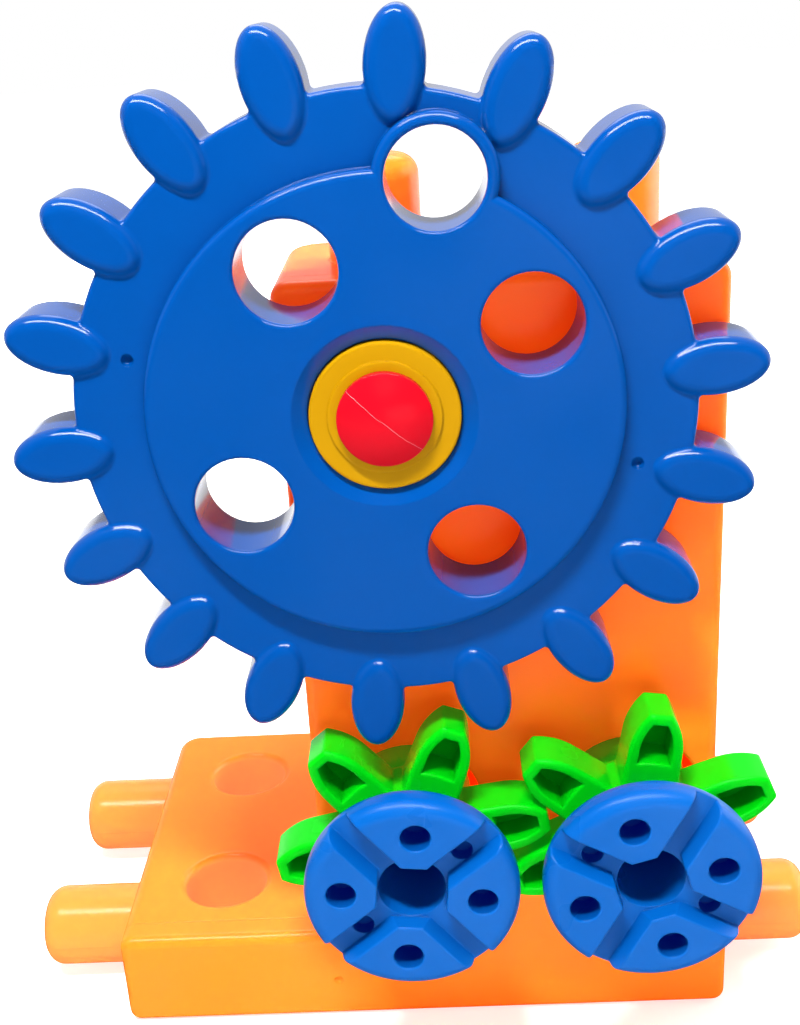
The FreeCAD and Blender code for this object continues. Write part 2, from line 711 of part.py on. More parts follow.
def pinion(x, turn):
    """Six-tooth pinion with leaf teeth open to the front, and a rear hub."""
    z = pinion_axis_height
    root = pinion_valley_radius - pinion_wall
    tooth = leaf_face(x, z, 0, root, front - pinion_front).extrude(Y_AXIS * (pinion_front - pinion_back))
    tip_edges = edges_where(tooth, lambda p: near(p.x, x + pinion_tip_radius) and not near(p.z, z)
                            and near(abs(p.z - z), tooth_tip_half))
    tooth = tooth.makeFillet(pinion_edge, tip_edges)
    faces = (front - pinion_front, front - pinion_back)
    rim_edges = edges_where(tooth, lambda p: any(near(p.y, y) for y in faces)
                            and p.x > x + root + pinion_wall / 4)
    tooth = tooth.makeFillet(pinion_edge, rim_edges)
    hollow = leaf_face(x, z, pinion_wall, root, front - pinion_front - wall)
    hollow = hollow.extrude(Y_AXIS * (pinion_front - pinion_back - pinion_floor + wall))
    hollow = hollow.cut(ahead(x, z, tooth_hollow_start, 2 * pinion_front, 0))
    hub = ahead(x, z, pinion_valley_radius, pinion_front, pinion_back)
    rear = ahead(x, z, hub_radius, pinion_back, -hub_entry)
    wheel = merge(hub, rear, *ring_of(tooth, pinion_teeth, x, z))
    in_valleys = edges_where(wheel, lambda p: near(from_axis(p, x, z), pinion_valley_radius))
    half_way = front - (pinion_front + pinion_back) / 2
    roots = [edge for edge in in_valleys if near(middle(edge).y, half_way)]
    wheel = wheel.makeFillet(pinion_root_radius, roots)
    hollows = Part.makeCompound(ring_of(hollow, pinion_teeth, x, z))
    wheel = wheel.cut(hollows)
    wheel = wheel.makeFillet(pinion_inner_edge, edges_where(
        wheel, lambda p: near(p.y, front - pinion_front) and near(hollows.distToShape(Part.Vertex(p))[0], 0)))
    wheel = wheel.cut(ahead(x, z, pin_radius + running_clearance, 2 * pinion_front, -pinion_front))
    wheel = wheel.cut(ahead(x, z, spigot_radius + seat_clearance / 2, 2 * pinion_front, spigot_end))
    return turned(wheel, x, z, turn)


def knob_body(x):
    """Round knob head with its stem and the spigot that the pinion is pressed on."""
    f, b = knob_front_edge, knob_back_edge
    profile = [
        (-knob_front, 0),
        (-knob_front, knob_radius - f),
        quarter_point(-knob_front + f, knob_radius - f, f, -1, 1),
        (-knob_front + f, knob_radius),
        (-knob_back - b, knob_radius),
        quarter_point(-knob_back - b, knob_radius - b, b, 1, 1),
        (-knob_back, knob_radius - b),
        (-knob_back, knob_stem_radius),
        (-pinion_front, knob_stem_radius),
        (-pinion_front, spigot_radius),
        (-spigot_end, spigot_radius),
        (-spigot_end, 0),
    ]
    return revolved(profile, Vec(x, front, pinion_axis_height), Y_AXIS, X_AXIS)


def channel(x, z):
    """Trapezoid groove across the whole knob, along X."""
    face_y = front - knob_front
    slope = (channel_width - channel_floor_width) / 2 / channel_depth
    half = channel_width / 2
    high = half + slope * channel_depth
    floor = channel_floor_width / 2
    points = [
        Vec(x - knob_front, face_y - channel_depth, z - high),
        Vec(x - knob_front, face_y - channel_depth, z + high),
        Vec(x - knob_front, face_y + channel_depth, z + floor),
        Vec(x - knob_front, face_y + channel_depth, z - floor),
    ]
    outline = Part.makePolygon(points + points[:1])
    return Part.Face(outline).extrude(X_AXIS * 2 * knob_front)


def knob(x, turn, pierced_turn):
    """Slotted knob: crossed channels, centre socket and small round holes."""
    z = pinion_axis_height
    shape = knob_body(x)
    step = 360 / knob_sectors
    for i in range(knob_sectors // 2):
        shape = shape.cut(turned(channel(x, z), x, z, step * (i + 0.5)))
    half = knob_pocket_half
    face_y = front - knob_front
    shape = shape.cut(box(x - half, x + half, face_y - wall, face_y + channel_depth, z - half, z + half))
    shape = shape.cut(ahead(x, z, knob_socket_radius, knob_front + wall, knob_socket_floor))
    shape = shape.cut(ahead(x, z, pin_radius + running_clearance, knob_front, -wall))
    for i in range(knob_sectors):
        dx, dz = polar(knob_radius - sector_hole_inset, step * i)
        hole = ahead(x + dx, z + dz, sector_hole_radius, knob_front + wall, knob_front - sector_hole_depth)
        shape = shape.cut(hole)
    on_pads = edges_where(shape, lambda p: near(p.y, face_y))
    pad_limit = knob_radius - knob_front_edge - knob_soft_edge / 2
    soft_edges = [edge for edge in on_pads if from_axis(middle(edge), x, z) < pad_limit]
    shape = shape.makeFillet(knob_soft_edge, soft_edges)
    floor = knob_front - channel_depth
    for half_turn in (0, 180):
        dx, dz = polar(knob_radius - channel_hole_inset, pierced_turn + half_turn)
        hole = ahead(x + dx, z + dz, channel_hole_radius, knob_front, floor - channel_hole_depth)
        shape = shape.cut(hole)
    return turned(shape, x, z, turn)


def axle_pin(x):
    """Headed pin in the knob's socket, on which knob and pinion turn."""
    z = pinion_axis_height
    head = ahead(x, z, axle_head_radius, axle_head_back + axle_head_thickness, axle_head_back)
    head = head.makeFillet(pinion_edge, edges_where(
        head, lambda p: near(p.y, front - axle_head_back - axle_head_thickness)))
    return merge(head, ahead(x, z, pin_radius, axle_head_back, -pin_depth))


def axle_bush(x):
    """Flanged bush in the tower's tube that grips the axle pin."""
    z = pinion_axis_height
    sleeve = ahead(x, z, sleeve_radius, -pinion_tube_front, -bush_depth)
    flange = ahead(x, z, tube_radius, -drive_tube_front, -pinion_tube_front)
    bush = merge(sleeve, flange)
    return bush.cut(ahead(x, z, pin_radius + seat_clearance / 2, 0, -bush_depth - wall))


# --- every piece ----------------------------------------------------------------------------
def pieces():
    """Name and shape of every piece of the toy."""
    named = {
        "block_front_shell": front_shell(),
        "block_rear_shell": rear_shell(),
        "shell_screws": shell_screws(),
        "drive_gear": drive_gear(),
        "hub_bush": hub_bush(),
        "hub_pin": hub_pin(),
    }
    for row, y in zip(("front", "rear"), cell_y):
        named[f"left_{row}_peg"] = side_peg(Vec(base_left, y, peg_height), X_AXIS * -1)
        named[f"right_{row}_peg"] = side_peg(Vec(base_right, y, peg_height), X_AXIS)
    for side, x in zip(("left", "right"), top_peg_x):
        named[f"top_{side}_peg"] = peg(Vec(x, cell_y[0], tower_height), Z_AXIS, X_AXIS, top_peg_length)
    turns = {
        "left": (pinion_turn_left, knob_turn_left, channel_hole_turn_left),
        "right": (pinion_turn_right, knob_turn_right, channel_hole_turn_right),
    }
    for (side, (pinion_turn, knob_turn, pierced)), x in zip(turns.items(), pinion_axis_x):
        named[f"pinion_{side}"] = pinion(x, pinion_turn)
        named[f"knob_{side}"] = knob(x, knob_turn, pierced)
        named[f"axle_pin_{side}"] = axle_pin(x)
        named[f"axle_bush_{side}"] = axle_bush(x)
    return named


os.makedirs("parts", exist_ok=True)
for name, shape in pieces().items():
    shape.exportStep(f"parts/{name}.step")
    limits = shape.BoundBox
    print(name, "solids", len(shape.Solids), "valid", shape.isValid(),
          "volume", round(shape.Volume), "y", round(limits.YMin, 2), round(limits.YMax, 2))
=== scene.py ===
# %% [markdown]
# # A gear building-block toy
#
# The toy is an L-shaped hollow block with a big crank gear on its tower. Below the gear two
# meshing pinions turn under slotted knobs. Every piece is injection-moulded plastic, so this
# lesson is mostly about plastic: how a glossy skin, a satin skin and a matt skin differ, and
# how a soft rounded edge catches the light.
#
# The solids come in as a fixed frame, already in the right place and size. They could be
# moved or scaled to taste, but the frame is shared with the motion model, so it stays as it
# is, and each step below lights the solids or paints them.

# %% The frame
import json
import math
import bmesh
import bpy
from mathutils import Matrix, Vector

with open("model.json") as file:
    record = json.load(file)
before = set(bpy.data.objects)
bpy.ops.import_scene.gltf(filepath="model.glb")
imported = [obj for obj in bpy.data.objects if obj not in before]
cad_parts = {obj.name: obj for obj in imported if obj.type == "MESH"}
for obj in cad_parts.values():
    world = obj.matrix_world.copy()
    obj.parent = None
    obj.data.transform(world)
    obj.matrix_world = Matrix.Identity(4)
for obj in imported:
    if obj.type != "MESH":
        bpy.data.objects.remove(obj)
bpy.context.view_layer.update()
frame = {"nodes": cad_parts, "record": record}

# %% [markdown]
# ## Measures
#
# Blender works in metres and the toy was drawn in millimetres, so one value turns one into
# the other. The block is built on a square grid, like all blocks of its kind, and two
# finishes need to know it: the sockets' walls and the line along the pegs. They could find
# their place on a painted map, but the grid's few numbers say it more exactly.

# %% Measures
MM = 0.001
IMAGE_WIDTH, IMAGE_HEIGHT = 800, 1025
SOCKET_PITCH = 50 * MM
SOCKET_FIRST_Y = -8 * MM             # the row of sockets nearest to the gears
SOCKET_RADIUS = 10.3 * MM
BASE_HEIGHT = 24.5 * MM
PEG_AXIS_HEIGHT = 12.25 * MM
print("the grid is", round(SOCKET_PITCH / MM), "mm wide")

# %% [markdown]
# ## The camera
#
# The toy is seen from close by, about a quarter of a metre away, so the near gear looks large
# and the tower behind it narrows. A long lens from far off would flatten that. The camera
# could be aimed with a Track To constraint, but a view this close needs its slight roll too,
# so the three angles are set one by one: a turn, a tilt down, and a roll.

# %% Camera
# The three angles are in radians.
CAMERA_PLACE = Vector((0.01043, -0.29567, 0.23622))
CAMERA_TURN = -0.0353548
CAMERA_TILT = 0.3729815
CAMERA_ROLL = -0.0594886
CAMERA_FOCAL_PIXELS = 1346.1
SENSOR_MM = 36.0

ahead_way = Vector((math.sin(CAMERA_TURN) * math.cos(CAMERA_TILT),
                    math.cos(CAMERA_TURN) * math.cos(CAMERA_TILT),
                    -math.sin(CAMERA_TILT)))
level_right = Vector((math.cos(CAMERA_TURN), -math.sin(CAMERA_TURN), 0))
level_up = level_right.cross(ahead_way)
right_way = level_right * math.cos(CAMERA_ROLL) + level_up * math.sin(CAMERA_ROLL)
up_way = level_up * math.cos(CAMERA_ROLL) - level_right * math.sin(CAMERA_ROLL)

camera_data = bpy.data.cameras.new("Camera")
camera_data.sensor_width = SENSOR_MM
camera_data.lens = SENSOR_MM * CAMERA_FOCAL_PIXELS / max(IMAGE_WIDTH, IMAGE_HEIGHT)
camera_data.clip_start = 0.01
camera = bpy.data.objects.new("Camera", camera_data)
camera.matrix_world = Matrix.Translation(CAMERA_PLACE) @ Matrix(
    (right_way, up_way, -ahead_way)).transposed().to_4x4()
bpy.context.scene.collection.objects.link(camera)
bpy.context.scene.camera = camera
print("lens", round(camera_data.lens, 2), "mm")

# %% [markdown]
# ## Lamps
#
# A toy like this is shown on a white sweep. One lamp could do both jobs of light on glossy
# plastic, to shade it and to be mirrored in it, but then neither can be set alone, so the
# lamps are split. A small key lamp overhead lays the gear's shadow on the tower, and wide
# lamps at the front, the left, the right and behind fill it. Two lamps light nothing and are
# only mirrored: a long strip draws the bright lines along pegs and rounded edges, and a card
# at the right pales the edge of the tower. The lamp above and behind does both. The Standard
# view keeps the plastic's strong colours, which a film-like view would wash out.

# %% Lamps
TOY_MIDDLE = (0.0, 0.0, 0.11)
BASE_MIDDLE = (0.0, 0.0, 0.03)
LIGHTS, MIRRORED, BOTH = "lights", "mirrored", "both"
RIGHT_PLACE = (0.60, 0.28, 0.25)
LAMPS = [
    # name, place, aim, width, height, watts, what it is there for
    ("Key lamp", (-0.088, -0.328, 0.722), TOY_MIDDLE, 0.22, 0.05, 10.8, LIGHTS),
    ("Strip lamp", (-0.04, -0.25, 0.68), TOY_MIDDLE, 0.60, 0.08, 5.0, MIRRORED),
    ("Front lamp", (0.0, -0.85, 0.65), TOY_MIDDLE, 0.40, 0.40, 1.5, LIGHTS),
    ("Left lamp", (-0.80, -0.50, 0.55), TOY_MIDDLE, 0.45, 0.45, 1.0, LIGHTS),
    ("Low lamp", (0.25, -0.75, 0.10), BASE_MIDDLE, 0.50, 0.20, 1.5, LIGHTS),
    ("Right lamp", RIGHT_PLACE, TOY_MIDDLE, 0.80, 0.50, 6.0, LIGHTS),
    ("Right rim lamp", RIGHT_PLACE, TOY_MIDDLE, 0.80, 0.50, 9.0, MIRRORED),
    ("Top rim lamp", (0.0, 0.45, 0.70), TOY_MIDDLE, 0.50, 0.30, 1.5, BOTH),
    ("Rear lamp", (-0.35, 1.00, 0.25), TOY_MIDDLE, 0.50, 0.50, 7.0, LIGHTS),
]
for name, place, aim, width, height, watts, purpose in LAMPS:
    data = bpy.data.lights.new(name, "AREA")
    data.shape = "RECTANGLE"
    data.size, data.size_y, data.energy = width, height, watts
    lamp = bpy.data.objects.new(name, data)
    way = Vector(aim) - Vector(place)
    turn = way.to_track_quat("-Z", "Y").to_matrix().to_4x4()
    lamp.matrix_world = Matrix.Translation(place) @ turn
    lamp.visible_glossy = purpose in (MIRRORED, BOTH)
    lamp.visible_diffuse = purpose in (LIGHTS, BOTH)
    bpy.context.scene.collection.objects.link(lamp)
bpy.context.scene.view_settings.view_transform = "Standard"
print("lamps:", [entry[0] for entry in LAMPS])

# %% [markdown]
# ## Tools for shader nodes
#
# A shader is a tree of small nodes. They could be placed and wired in the editor by hand, but
# in a script each node would take a line for itself and one for every wire. These helpers
# place a node and link it at once, so that a shader reads from its inputs to its sockets.


# %% Tools for shader nodes
def add_node(tree, kind, values=None, **settings):
    """A node with its settings and its socket values; a socket given as value is linked."""
    node = tree.nodes.new(kind)
    for name, setting in settings.items():
        setattr(node, name, setting)
    for key, value in (values or {}).items():
        if isinstance(value, bpy.types.NodeSocket):
            tree.links.new(value, node.inputs[key])
        else:
            node.inputs[key].default_value = value
    return node


def ramp(tree, value, low, high, to_low=0.0, to_high=1.0):
    """A value moved from one range to another, and held inside it."""
    return add_node(tree, "ShaderNodeMapRange", {
        "Value": value, "From Min": low, "From Max": high, "To Min": to_low, "To Max": to_high,
    }).outputs["Result"]


def mix_values(tree, share, first, second):
    """A number between two."""
    node = add_node(tree, "ShaderNodeMix", {"Factor": share, "A": first, "B": second})
    return node.outputs["Result"]


print("node tools ready")

# %% [markdown]
# ## The white room
#
# The room is white to the eye, and its glow fills the shadows. What a glossy surface mirrors
# is another matter: a studio is bright behind the toy and dim behind the camera, so the room
# is graded from front to back for glossy rays only. A picture of a real room would do this
# too, but it would have to travel with the lesson. A Light Path node tells the kinds of ray
# apart.

# %% White room
ROOM_GLOW = 0.17                     # what the room adds to the light on every surface
ROOM_SEEN = 1.0
MIRRORED_IN_FRONT, MIRRORED_BEHIND = 0.02, 0.75
WHITE = (1.0, 1.0, 1.0, 1)
world = bpy.data.worlds.new("White room")
world.use_nodes = True
room = world.node_tree
ray_kind = add_node(room, "ShaderNodeLightPath").outputs
ray_way = add_node(room, "ShaderNodeSeparateXYZ", {
    0: add_node(room, "ShaderNodeTexCoord").outputs["Generated"]}).outputs
mirrored_room = ramp(room, ray_way["Y"], -0.5, 0.5, MIRRORED_IN_FRONT, MIRRORED_BEHIND)
unseen_room = mix_values(room, ray_kind["Is Glossy Ray"], ROOM_GLOW, mirrored_room)
room_strength = mix_values(room, ray_kind["Is Camera Ray"], unseen_room, ROOM_SEEN)
backdrop = room.nodes["Background"]
room.links.new(room_strength, backdrop.inputs["Strength"])
backdrop.inputs["Color"].default_value = WHITE
bpy.context.scene.world = world
print("room glow", ROOM_GLOW)

# %% [markdown]
# ## The floor
#
# The floor is a wide pale disc, far larger than the picture, and its edge has to vanish in
# the white room. A curved sweep is the studio's way, but it throws light back at the toy. A
# flat floor that glows a little more with distance melts into the room as well, and near the
# toy it glows less, so that the toy's soft shadow stays. It is split by the kind of ray, as
# the room is: it is mirrored only where it lies behind the toy.

# %% Floor
FLOOR_TONE, FLOOR_TONE_MIRRORED = 0.88, 0.02
FLOOR_FADE = (0.1, 0.6)              # metres from the toy's middle over which the glow grows
FLOOR_GLOW = (0.55, 1.0)
FLOOR_BEHIND = (0.03, 0.30)          # metres behind the toy's middle
FLOOR_GLOW_MIRRORED = (0.0, 1.6)
floor_mesh = bmesh.new()
bmesh.ops.create_circle(floor_mesh, cap_ends=True, segments=64, radius=4.0)
floor_data = bpy.data.meshes.new("floor")
floor_mesh.to_mesh(floor_data)
floor_mesh.free()
floor = bpy.data.objects.new("floor", floor_data)
bpy.context.scene.collection.objects.link(floor)

floor_paint = bpy.data.materials.new("Pale floor")
floor_paint.use_nodes = True
tree = floor_paint.node_tree
rays = add_node(tree, "ShaderNodeLightPath").outputs
floor_place = add_node(tree, "ShaderNodeTexCoord").outputs["Object"]
floor_reach = add_node(tree, "ShaderNodeVectorMath", {0: floor_place}, operation="LENGTH")
floor_sides = add_node(tree, "ShaderNodeSeparateXYZ", {0: floor_place}).outputs
seen_glow = ramp(tree, floor_reach.outputs["Value"], *FLOOR_FADE, *FLOOR_GLOW)
mirrored_glow = mix_values(tree, rays["Is Glossy Ray"], 0.0,
                           ramp(tree, floor_sides["Y"], *FLOOR_BEHIND, *FLOOR_GLOW_MIRRORED))
floor_glow = mix_values(tree, rays["Is Camera Ray"], mirrored_glow, seen_glow)
floor_tone = mix_values(tree, rays["Is Glossy Ray"], FLOOR_TONE, FLOOR_TONE_MIRRORED)
floor_shader = tree.nodes["Principled BSDF"]
tree.links.new(floor_glow, floor_shader.inputs["Emission Strength"])
tree.links.new(floor_tone, floor_shader.inputs["Base Color"])
floor_shader.inputs["Emission Color"].default_value = WHITE
floor_shader.inputs["Roughness"].default_value = 0.9
floor_shader.inputs["Specular IOR Level"].default_value = 0.0
floor_data.materials.append(floor_paint)
print("floor has", len(floor_data.polygons), "face")

# %% [markdown]
# ## Tools for shader groups
#
# Several plastics share the same faults: a faint cloudiness, flow lines from the mould, fine
# grain and hairline scuffs. They could be painted on each material by hand, but then every
# change has to be made many times. A node group holds the effect once, with named sockets,
# and each material sets its own values on it.


# %% Tools for shader groups
def start_group(name, inputs, outputs):
    """An empty shader group with named sockets: inputs are (label, kind, value)."""
    group = bpy.data.node_groups.new(name, "ShaderNodeTree")
    for label, kind, value in inputs:
        socket = group.interface.new_socket(label, in_out="INPUT", socket_type=kind)
        socket.default_value = value
    for label, kind in outputs:
        group.interface.new_socket(label, in_out="OUTPUT", socket_type=kind)
    return group, group.nodes.new("NodeGroupInput"), group.nodes.new("NodeGroupOutput")


def math_node(tree, operation, first, second=0.0):
    """The result socket of a Math node."""
    return add_node(tree, "ShaderNodeMath", {0: first, 1: second}, operation=operation).outputs[0]


def noise(tree, place, scale, detail):
    """A cloudy noise from 0 to 1, with scale the number of its clouds in a metre."""
    return add_node(tree, "ShaderNodeTexNoise", {
        "Vector": place, "Scale": scale, "Detail": detail}).outputs["Fac"]


# A Mix node has several sockets of each name, and these are the color ones.
MIX_SHARE, MIX_A, MIX_B, MIX_RESULT = 0, 6, 7, 2


def mix_colors(tree, share, first, second):
    """A color between two, at a share that may change over the surface."""
    node = add_node(tree, "ShaderNodeMix", {MIX_SHARE: share, MIX_A: first, MIX_B: second},
                    data_type="RGBA")
    return node.outputs[MIX_RESULT]


print("group tools ready")

# %% [markdown]
# ## The moulded skin
#
# Moulded plastic is never one even colour. The melt cools in clouds, it leaves faint lines
# where it flowed, and the steel's texture is printed in it as grain. A picture of plastic
# could be wrapped round each piece, but it would show its edges and its limit of detail.
# Noises of different sizes have neither: clouds of a few centimetres, stretched flow lines, a
# slow waviness and grain of half a millimetre. They read Object coordinates, so the pattern
# stays on the piece when it turns.

# %% Moulded skin group
CLOUD_SCALE, PEEL_SCALE, GRAIN_SCALE = 28.0, 160.0, 2200.0
FLOW_STRETCH = (40.0, 40.0, 420.0)

skin, skin_in, skin_out = start_group(
    "Moulded skin",
    [("Body Color", "NodeSocketColor", (0.5, 0.5, 0.5, 1)),
     ("Pale Color", "NodeSocketColor", (0.6, 0.6, 0.6, 1)),
     ("Cloudiness", "NodeSocketFloat", 0.5),
     ("Roughness", "NodeSocketFloat", 0.3),
     ("Grain", "NodeSocketFloat", 0.3),
     ("Scuffs", "NodeSocketFloat", 0.5)],
    [("Color", "NodeSocketColor"), ("Roughness", "NodeSocketFloat"),
     ("Height", "NodeSocketFloat")],
)
wanted = skin_in.outputs
spot = add_node(skin, "ShaderNodeTexCoord").outputs["Object"]
clouds = noise(skin, spot, CLOUD_SCALE, 3.0)
grain = noise(skin, spot, GRAIN_SCALE, 1.0)
peel = noise(skin, spot, PEEL_SCALE, 1.0)
stretched = add_node(skin, "ShaderNodeMapping", {"Vector": spot, "Scale": FLOW_STRETCH})
flow = noise(skin, stretched.outputs["Vector"], 1.0, 2.0)
print("noises in the moulded skin:", sum(node.type == "TEX_NOISE" for node in skin.nodes))

# %% [markdown]
# ## Scuffs
#
# Play leaves fine scratches, and they come in patches where blocks rub on each other. They
# could be drawn as lines on a picture, but then each piece needs its own. The borders of a
# stretched cell pattern are thin lines of every length, and a noise keeps them to a few
# patches.

# %% Scuffs
SCRATCH_TURN, SCRATCH_STRETCH = (0.5, 0.7, 0.4), (260.0, 40.0, 90.0)
SCRATCH_WIDTH = 0.035                # of a cell
SCUFF_PATCH_SCALE = 75.0

scratch_way = add_node(skin, "ShaderNodeMapping", {
    "Vector": spot, "Rotation": SCRATCH_TURN, "Scale": SCRATCH_STRETCH})
cells = add_node(skin, "ShaderNodeTexVoronoi", {
    "Vector": scratch_way.outputs["Vector"], "Scale": 1.0},
    feature="DISTANCE_TO_EDGE").outputs["Distance"]
scuff_places = ramp(skin, noise(skin, spot, SCUFF_PATCH_SCALE, 2.0), 0.60, 0.68)
scuff_line = math_node(skin, "MULTIPLY", ramp(skin, cells, 0.0, SCRATCH_WIDTH, 1.0, 0.0),
                       scuff_places)
scuff = math_node(skin, "MULTIPLY", scuff_line, wanted["Scuffs"])
print("with the scuffs it has", len(skin.nodes), "nodes")

# %% [markdown]
# ## What the skin gives
#
# A scuff shows three times: it pales the color, dulls the gloss and leaves a dent. A cloud
# shows in the color and the gloss, and the grain and the waviness show only in the relief.
# Color, roughness and height could each have their own noises, but on a real piece they
# belong together, so they share the ones above. The group gives only these three, and each
# material decides what they drive.

# %% What the skin gives
FLOW_SHARE = 0.25                    # how pale a flow line is beside a cloud
SCUFF_ROUGHNESS, SCUFF_DEPTH, PEEL_HEIGHT = 0.25, 0.5, 0.6

cloud_share = math_node(skin, "MULTIPLY", ramp(skin, clouds, 0.35, 0.68), wanted["Cloudiness"])
flow_share = math_node(skin, "MULTIPLY", ramp(skin, flow, 0.55, 0.75), FLOW_SHARE)
pale_share = math_node(skin, "ADD", math_node(skin, "ADD", cloud_share, scuff),
                       math_node(skin, "MULTIPLY", flow_share, wanted["Cloudiness"]))
skin_color = mix_colors(skin, pale_share, wanted["Body Color"], wanted["Pale Color"])
scuff_roughness = math_node(skin, "MULTIPLY", scuff, SCUFF_ROUGHNESS)
cloud_roughness = ramp(skin, clouds, 0.3, 0.7, -0.03, 0.05)
skin_roughness = math_node(skin, "ADD", wanted["Roughness"],
                           math_node(skin, "ADD", scuff_roughness, cloud_roughness))
dents = math_node(skin, "SUBTRACT", math_node(skin, "MULTIPLY", peel, PEEL_HEIGHT),
                  math_node(skin, "MULTIPLY", scuff, SCUFF_DEPTH))
skin_height = math_node(skin, "ADD", math_node(skin, "MULTIPLY", grain, wanted["Grain"]), dents)
for label, socket in (("Color", skin_color), ("Roughness", skin_roughness),
                      ("Height", skin_height)):
    skin.links.new(socket, skin_out.inputs[label])
print("moulded skin has", len(skin.nodes), "nodes")

# %% [markdown]
# ## A parting line
#
# Where the two halves of a mould meet they leave a hair of plastic. On the pegs it runs along
# both sides at mid-height, and the domed pin of the big gear has a thin pale line across it.
# A ridge could be modelled, but it is a tenth of a millimetre high, so a mask in the shader
# that lifts the bump and pales the color does it with far less mesh. The mask is a band along
# a plane, given by a way across the band and a distance, and a little noise makes it wander.

# %% Parting line group
seam, seam_in, seam_out = start_group(
    "Parting line",
    [("Across", "NodeSocketVector", (0, 0, 1)),
     ("Distance", "NodeSocketFloat", 0.0),
     ("Half Width", "NodeSocketFloat", 0.0001),
     ("Wander", "NodeSocketFloat", 0.0001)],
    [("Line", "NodeSocketFloat")],
)
seam_spot = add_node(seam, "ShaderNodeTexCoord").outputs["Object"]
seam_reach = add_node(seam, "ShaderNodeVectorMath", {
    0: seam_spot, 1: seam_in.outputs["Across"]}, operation="DOT_PRODUCT").outputs["Value"]
sway = math_node(seam, "SUBTRACT", noise(seam, seam_spot, 240.0, 2.0), 0.5)
swayed = math_node(seam, "ADD", seam_reach,
                   math_node(seam, "MULTIPLY", sway, seam_in.outputs["Wander"]))
off_line = math_node(seam, "ABSOLUTE",
                     math_node(seam, "SUBTRACT", swayed, seam_in.outputs["Distance"]))
off_share = math_node(seam, "DIVIDE", off_line, seam_in.outputs["Half Width"])
line_share = math_node(seam, "MAXIMUM", math_node(seam, "SUBTRACT", 1.0, off_share), 0.0)
seam.links.new(line_share, seam_out.inputs["Line"])
print("parting line has", len(seam.nodes), "nodes")

# %% [markdown]
# ## How a plastic is made
#
# A gloss plastic and a matt one can have the same color: what differs is the roughness and
# the grain. A clear coat could make the gloss, but moulded plastic has no coat, so a low
# roughness does it. Each finish sets its own color, roughness and share of faults, and the
# shader stays in the material, where its constants are easy to find. A Bevel node rounds the
# shading of the sharp inner corners, which a real mould can't make sharp.
#
# The orange and the green let light through. Subsurface scattering alone would need a path of
# many bounces through each hollow wall, so a weak painted red or green glow stands for the light
# that comes through from behind. The pockets and holes of the gears and knobs get less light, so
# an Ambient Occlusion node finds them and paints shade into their color, with a faint painted
# light in the deepest parts.

# %% The maker of plastics
BLACK = (0, 0, 0)
LINE_HEIGHT = 4.0                    # of a parting line, beside the grain's height of 1
POCKET_OPENNESS = (0.1, 0.65)        # from the deepest shade to none
THROUGH_WEIGHT, THROUGH_DEPTH = 0.35, 0.004
LEAST_THROUGH = 0.15                 # of a color that hardly passes


def moulded(name, body, pale, roughness, grain=0.3, cloudiness=0.35, scuffs=0.1,
            relief=0.012 * MM, specular=0.35, glow=BLACK, corner=0.6 * MM, line=None,
            pocket=None):
    """A plastic: its color, its paler cloud color, and how glossy, grainy and scuffed it is.
    A line is (way across it, distance, half width, wander, color) of a parting line, and a
    pocket is (depth, share of the color left in it, glow in it)."""
    material = bpy.data.materials.new(name)
    material.use_nodes = True
    tree = material.node_tree
    shader = tree.nodes["Principled BSDF"]
    faults = add_node(tree, "ShaderNodeGroup", {
        "Body Color": (*body, 1), "Pale Color": (*pale, 1), "Cloudiness": cloudiness,
        "Roughness": roughness, "Grain": grain, "Scuffs": scuffs}, node_tree=skin)
    color, height = faults.outputs["Color"], faults.outputs["Height"]
    if line:
        across, distance, half_width, wander, line_color = line
        mark = add_node(tree, "ShaderNodeGroup", {
            "Across": across, "Distance": distance, "Half Width": half_width, "Wander": wander},
            node_tree=seam).outputs["Line"]
        color = mix_colors(tree, mark, color, (*line_color, 1))
        height = math_node(tree, "ADD", height, math_node(tree, "MULTIPLY", mark, LINE_HEIGHT))
    # Painted shade: the color is darkened where the AO node finds a pocket, and a faint painted
    # light goes into its emission.
    if pocket:
        depth, darkest, painted_pocket_light = pocket
        openness = add_node(tree, "ShaderNodeAmbientOcclusion", {"Distance": depth},
                            samples=6, only_local=True).outputs["AO"]
        open_share = ramp(tree, openness, *POCKET_OPENNESS)
        pocket_shade_color = mix_colors(tree, darkest, (*BLACK, 1), color)
        color = mix_colors(tree, open_share, pocket_shade_color, color)
        tree.links.new(mix_colors(tree, open_share, (*painted_pocket_light, 1), (*glow, 1)),
                       shader.inputs["Emission Color"])
    rounded = add_node(tree, "ShaderNodeBevel", {"Radius": corner}, samples=6)
    relief_node = add_node(tree, "ShaderNodeBump", {
        "Distance": relief, "Height": height, "Normal": rounded.outputs["Normal"]})
    for label, socket in (("Base Color", color), ("Roughness", faults.outputs["Roughness"]),
                          ("Normal", relief_node.outputs["Normal"])):
        tree.links.new(socket, shader.inputs[label])
    # The glow is painted light, an emission that stands for light coming through the plastic.
    brightest = max(*glow, 0.01)
    for label, value in (
            ("Specular IOR Level", specular),
            ("Subsurface Weight", THROUGH_WEIGHT if any(glow) else 0.0),
            ("Subsurface Radius", [max(share / brightest, LEAST_THROUGH) for share in glow]),
            ("Subsurface Scale", THROUGH_DEPTH),
            ("Emission Color", (*glow, 1)),
            ("Emission Strength", 1.0 if any(glow) or pocket else 0.0)):
        shader.inputs[label].default_value = value
    return material


print("ready to make plastics")
